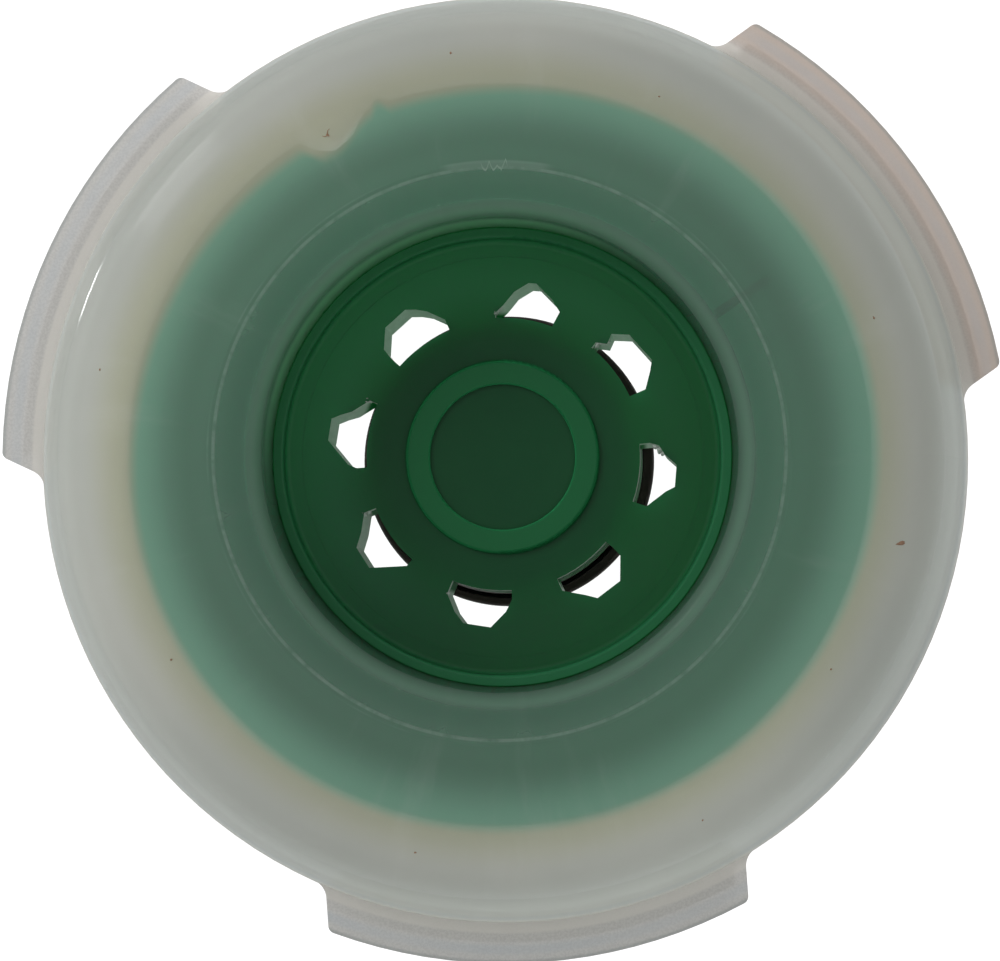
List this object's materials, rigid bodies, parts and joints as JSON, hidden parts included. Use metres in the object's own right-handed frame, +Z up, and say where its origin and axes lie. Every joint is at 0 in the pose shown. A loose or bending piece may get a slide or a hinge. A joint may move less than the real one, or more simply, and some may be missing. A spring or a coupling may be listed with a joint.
{
  "type": "wasp trap",
  "caption": "Hanging dome trap for wasps: round ring-shaped catch bowl with bayonet lugs, perforated entry plate in its neck, bait cup, clear lid and hook.",
  "frame": {"origin": "middle of the round entry mouth, level with the foot ring's land that the trap stands on", "axes": "+Z up along the trap's axis towards the hook; +Y is near the middle of one bayonet lug, and the hook lies in the XZ plane"},
  "size_m": [0.1493, 0.1446, 0.1597],
  "materials": {
    "milky_plastic": "translucent natural polypropylene, lightly scuffed",
    "green_plastic": "satin moulded, dark green",
    "black_plastic": "satin moulded, brownish black",
    "clear_plastic": "clear and polished",
    "bush_plastic": "plain nylon",
    "rubber": "pale silicone, matt",
    "steel_wire": "zinc plated, drawn",
    "sponge": "open-cell foam"
  },
  "bodies": {
    "base": {"catch_bowl": "milky_plastic", "shade_cone": "green_plastic", "entry_plate": "green_plastic"},
    "cup": {"bait_cup": "black_plastic", "lure_sponge": "sponge"},
    "cup_cap": {"bait_cup_cap": "black_plastic"},
    "lid": {"lid_dome": "clear_plastic", "lid_seal": "rubber", "hub_cap": "green_plastic", "hub_seal": "rubber", "hub_nut": "black_plastic", "hook_bush": "bush_plastic"},
    "hook": {"hanger_hook": "steel_wire", "hook_washer": "steel_wire", "hook_nut": "steel_wire"}
  },
  "joints": [
    {"name": "lid_turn", "type": "hinge", "parent": "base", "child": "lid", "pos_m": [0, 0, 0.0605], "axis": [0, 0, 1], "range_deg": [0, 60]},
    {"name": "hook_swivel", "type": "hinge", "parent": "lid", "child": "hook", "pos_m": [0, 0, 0.128], "axis": [0, 0, 1], "continuous": true},
    {"name": "bait_cup_lift", "type": "slide", "parent": "base", "child": "cup", "axis": [0, 0, 1], "range_m": [0, 0.02]},
    {"name": "cup_cap_turn", "type": "hinge", "parent": "cup", "child": "cup_cap", "pos_m": [0, 0, 0.078], "axis": [0, 0, 1], "range_deg": [0, 45]}
  ]
}
